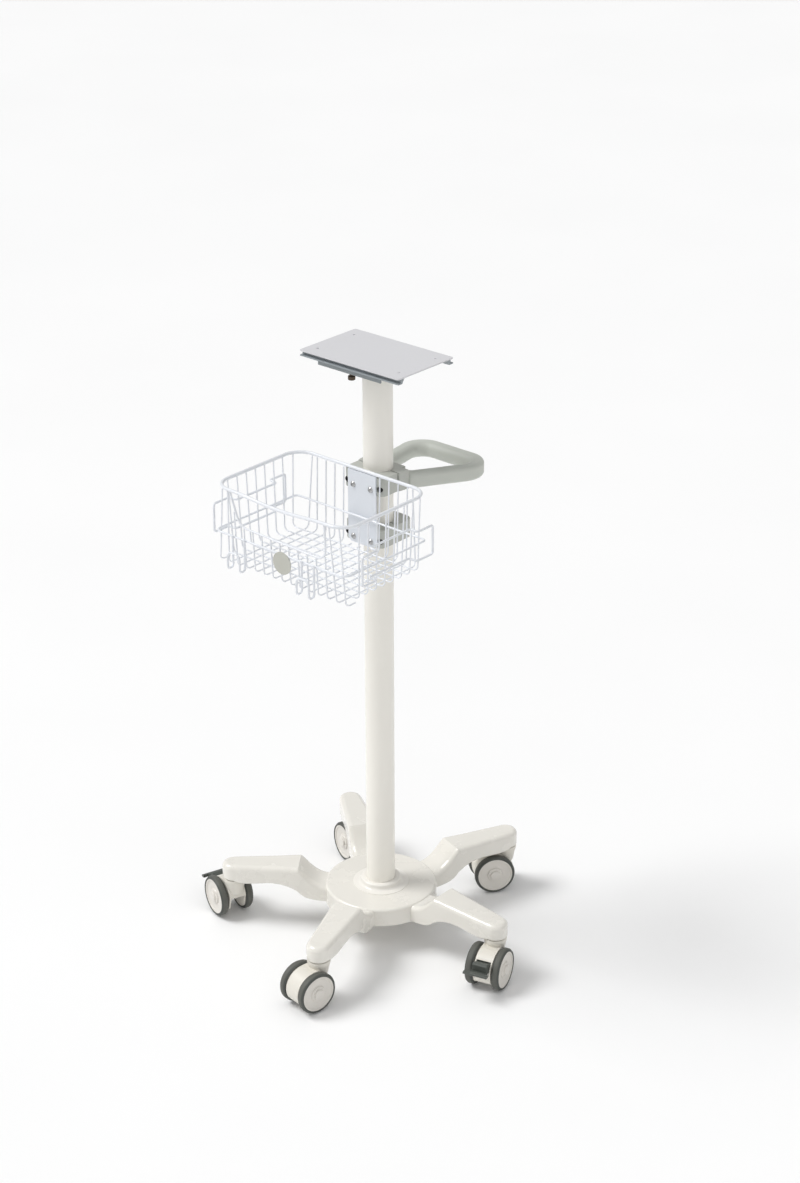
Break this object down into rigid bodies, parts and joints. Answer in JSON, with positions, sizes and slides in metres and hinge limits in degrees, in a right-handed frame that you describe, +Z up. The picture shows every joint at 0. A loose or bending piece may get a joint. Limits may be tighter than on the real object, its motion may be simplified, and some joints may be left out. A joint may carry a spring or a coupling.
{
  "type": "medical roll stand",
  "caption": "Wheeled roll stand for a portable ultrasound machine: pole on a leg base with twin-wheel casters, device plate, wire basket and push handle",
  "frame": {"origin": "middle of the stand's footprint on the floor", "axes": "+Z up along the pole, -Y is the basket side, +Y the push-handle side, +X along the long side of the device plate"},
  "size_m": [0.623, 0.6002, 1.0946],
  "materials": {
    "base_white": "gloss powder coat",
    "pole_cream": "satin powder coat",
    "plate_grey": "satin",
    "rail_grey": "satin",
    "clamp_grey": "painted satin",
    "handle_grey": "fine-grained",
    "bracket_white": "satin",
    "wire_white": "gloss coated wire",
    "badge_grey": "plain",
    "steel": "bright zinc",
    "black_screw": "black oxide",
    "bumper_white": "soft",
    "inner_plastic": "plain",
    "caster_white": "moulded",
    "wheel": "grey tyre on a light disc",
    "pedal_grey": "moulded"
  },
  "bodies": {
    "stand": {"base_casting": "base_white", "pole_collar": "base_white", "pole_foot_plug": "inner_plastic", "pole_bolt": "steel", "pole_tube": "pole_cream", "pole_top_insert": "inner_plastic", "pole_top_flange": "rail_grey", "head_bracket": "rail_grey", "head_bracket_screws": "steel", "device_plate": "plate_grey", "plate_front_rail": "rail_grey", "plate_rear_rail": "rail_grey", "bumper_dome": "bumper_white", "upper_clamp_front": "clamp_grey", "handle_clamp_rear": "clamp_grey", "handle_loop": "handle_grey", "handle_pins": "steel", "clamp_screws": "black_screw", "lower_clamp_front": "clamp_grey", "lower_clamp_rear": "clamp_grey", "bracket_plate": "bracket_white", "basket_screws": "steel", "basket_rim": "wire_white", "basket_belt": "wire_white", "basket_mouth_wire": "wire_white", "basket_floor": "wire_white", "basket_front": "wire_white", "basket_rear": "wire_white", "basket_left": "wire_white", "basket_right": "wire_white", "basket_hooks": "wire_white", "left_cord_wrap": "wire_white", "right_cord_wrap": "wire_white", "badge_disc": "badge_grey", "caster_stems": "steel"},
    "lock_screw": {"lock_screw": "steel"},
    "detent_knob": {"detent_knob": "black_screw"},
    "caster_a": {"caster_housing_a": "caster_white", "caster_axle_a": "steel"},
    "wheel_a_left": {"wheel_a_left": "wheel"},
    "wheel_a_right": {"wheel_a_right": "wheel"},
    "brake_pedal_a": {"brake_pedal_a": "pedal_grey"},
    "caster_b": {"caster_housing_b": "caster_white", "caster_axle_b": "steel"},
    "wheel_b_left": {"wheel_b_left": "wheel"},
    "wheel_b_right": {"wheel_b_right": "wheel"},
    "caster_c": {"caster_housing_c": "caster_white", "caster_axle_c": "steel"},
    "wheel_c_left": {"wheel_c_left": "wheel"},
    "wheel_c_right": {"wheel_c_right": "wheel"},
    "brake_pedal_c": {"brake_pedal_c": "pedal_grey"},
    "caster_d": {"caster_housing_d": "caster_white", "caster_axle_d": "steel"},
    "wheel_d_left": {"wheel_d_left": "wheel"},
    "wheel_d_right": {"wheel_d_right": "wheel"},
    "caster_e": {"caster_housing_e": "caster_white", "caster_axle_e": "steel"},
    "wheel_e_left": {"wheel_e_left": "wheel"},
    "wheel_e_right": {"wheel_e_right": "wheel"}
  },
  "joints": [
    {"name": "lock_screw_turn", "type": "hinge", "parent": "stand", "child": "lock_screw", "pos_m": [-0.01885, -0.02511, 1.0574], "axis": [0, 0, 1], "range_deg": [-720, 0]},
    {"name": "detent_knob_pull", "type": "slide", "parent": "stand", "child": "detent_knob", "axis": [0, 0, -1], "range_m": [0, 0.004], "stiffness_N_per_m": 400, "springref_m": -0.003},
    {"name": "swivel_a", "type": "hinge", "parent": "stand", "child": "caster_a", "pos_m": [-0.21795, -0.13675, 0.085], "axis": [0, 0, 1], "continuous": true},
    {"name": "spin_a_left", "type": "hinge", "parent": "caster_a", "child": "wheel_a_left", "pos_m": [-0.24993, -0.15265, 0.0375], "axis": [-0.309, -0.9511, 0], "continuous": true},
    {"name": "spin_a_right", "type": "hinge", "parent": "caster_a", "child": "wheel_a_right", "pos_m": [-0.23448, -0.1051, 0.0375], "axis": [-0.309, -0.9511, 0], "continuous": true},
    {"name": "pedal_a_press", "type": "hinge", "parent": "caster_a", "child": "brake_pedal_a", "pos_m": [-0.25219, -0.12563, 0.05], "axis": [-0.309, -0.9511, 0], "range_deg": [-12, 0]},
    {"name": "swivel_b", "type": "hinge", "parent": "stand", "child": "caster_b", "pos_m": [0.08, -0.23357, 0.085], "axis": [0, 0, 1], "continuous": true},
    {"name": "spin_b_left", "type": "hinge", "parent": "caster_b", "child": "wheel_b_left", "pos_m": [0.10071, -0.26266, 0.0375], "axis": [0.9877, -0.1564, 0], "continuous": true},
    {"name": "spin_b_right", "type": "hinge", "parent": "caster_b", "child": "wheel_b_right", "pos_m": [0.05132, -0.25484, 0.0375], "axis": [0.9877, -0.1564, 0], "continuous": true},
    {"name": "swivel_c", "type": "hinge", "parent": "stand", "child": "caster_c", "pos_m": [0.26415, 0.01989, 0.085], "axis": [0, 0, 1], "continuous": true},
    {"name": "spin_c_left", "type": "hinge", "parent": "caster_c", "child": "wheel_c_left", "pos_m": [0.29521, 0.00227, 0.0375], "axis": [0.9613, 0.2756, 0], "continuous": true},
    {"name": "spin_c_right", "type": "hinge", "parent": "caster_c", "child": "wheel_c_right", "pos_m": [0.24715, -0.01151, 0.0375], "axis": [0.9613, 0.2756, 0], "continuous": true},
    {"name": "pedal_c_press", "type": "hinge", "parent": "caster_c", "child": "brake_pedal_c", "pos_m": [0.27407, -0.01472, 0.05], "axis": [0.9613, 0.2756, 0], "range_deg": [0, 12]},
    {"name": "swivel_d", "type": "hinge", "parent": "stand", "child": "caster_d", "pos_m": [0.08, 0.27335, 0.085], "axis": [0, 0, 1], "continuous": true},
    {"name": "spin_d_left", "type": "hinge", "parent": "caster_d", "child": "wheel_d_left", "pos_m": [0.08462, 0.23794, 0.0375], "axis": [0.7986, -0.6018, 0], "continuous": true},
    {"name": "spin_d_right", "type": "hinge", "parent": "caster_d", "child": "wheel_d_right", "pos_m": [0.04469, 0.26803, 0.0375], "axis": [0.7986, -0.6018, 0], "continuous": true},
    {"name": "swivel_e", "type": "hinge", "parent": "stand", "child": "caster_e", "pos_m": [-0.21795, 0.17653, 0.085], "axis": [0, 0, 1], "continuous": true},
    {"name": "spin_e_left", "type": "hinge", "parent": "caster_e", "child": "wheel_e_left", "pos_m": [-0.18544, 0.19131, 0.0375], "axis": [0.342, 0.9397, 0], "continuous": true},
    {"name": "spin_e_right", "type": "hinge", "parent": "caster_e", "child": "wheel_e_right", "pos_m": [-0.20254, 0.14432, 0.0375], "axis": [0.342, 0.9397, 0], "continuous": true}
  ]
}
